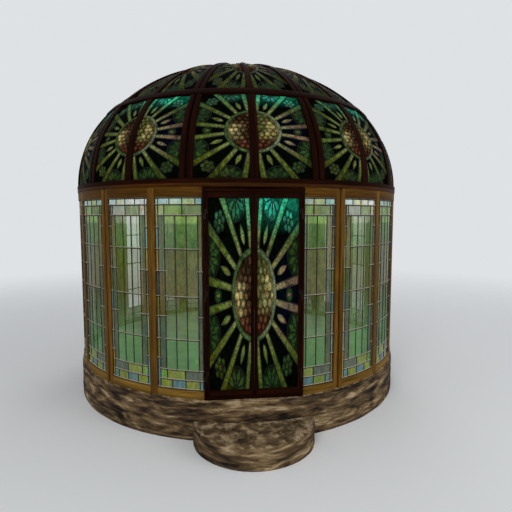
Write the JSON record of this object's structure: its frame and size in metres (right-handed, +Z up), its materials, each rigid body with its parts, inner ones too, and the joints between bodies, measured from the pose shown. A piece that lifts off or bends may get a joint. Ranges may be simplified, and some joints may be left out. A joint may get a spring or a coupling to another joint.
{
  "type": "glass gazebo",
  "caption": "Round garden room on a stone base: oak-framed leaded glass walls, a ribbed stained glass dome in two tiers and an outward-opening pair of glazed doors",
  "frame": {"origin": "centre of the round base's underside, on the room's axis", "axes": "Z up, the doors face -Y, X to the right seen from the front"},
  "size_m": [4.2498, 4.7699, 4.2032],
  "materials": {
    "brown_stone": "rough",
    "floor_stone": "honed",
    "golden_oak": "oiled",
    "dark_oak": "oiled",
    "mahogany": "varnished",
    "leaded_glass": "clear and tinted",
    "stained_glass": "coloured",
    "bronze": "dark patina"
  },
  "bodies": {
    "gazebo": {"stone_base": "brown_stone", "entrance_step": "brown_stone", "floor_slab": "floor_stone", "joint_posts": "golden_oak", "mid_posts": "golden_oak", "sill_rails": "golden_oak", "head_rails": "golden_oak", "wall_plate": "dark_oak", "wall_glass_1": "leaded_glass", "wall_glass_2": "leaded_glass", "wall_glass_3": "leaded_glass", "wall_glass_4": "leaded_glass", "wall_glass_5": "leaded_glass", "wall_glass_6": "leaded_glass", "wall_glass_7": "leaded_glass", "wall_glass_8": "leaded_glass", "wall_glass_9": "leaded_glass", "wall_glass_10": "leaded_glass", "dome_curb": "mahogany", "lower_main_ribs": "mahogany", "lower_mid_ribs": "mahogany", "tier_ring": "mahogany", "upper_main_ribs": "mahogany", "upper_mid_ribs": "mahogany", "dome_crown": "mahogany", "lower_dome_glass": "stained_glass", "upper_dome_glass": "stained_glass", "door_jambs": "mahogany", "door_head": "mahogany", "door_threshold": "mahogany", "door_stops": "mahogany", "hinge_pins": "bronze"},
    "left_leaf": {"left_leaf_stiles": "mahogany", "left_leaf_rails": "mahogany", "left_leaf_glass": "stained_glass", "left_leaf_knuckles": "bronze"},
    "right_leaf": {"right_leaf_stiles": "mahogany", "right_leaf_rails": "mahogany", "right_leaf_glass": "stained_glass", "right_leaf_knuckles": "bronze"}
  },
  "joints": [
    {"name": "left_door_hinge", "type": "hinge", "parent": "gazebo", "child": "left_leaf", "pos_m": [-0.467, -2.073, 1.455], "axis": [0, 0, -1], "range_deg": [0, 100]},
    {"name": "right_door_hinge", "type": "hinge", "parent": "gazebo", "child": "right_leaf", "pos_m": [0.467, -2.073, 1.455], "axis": [0, 0, 1], "range_deg": [0, 100]}
  ]
}
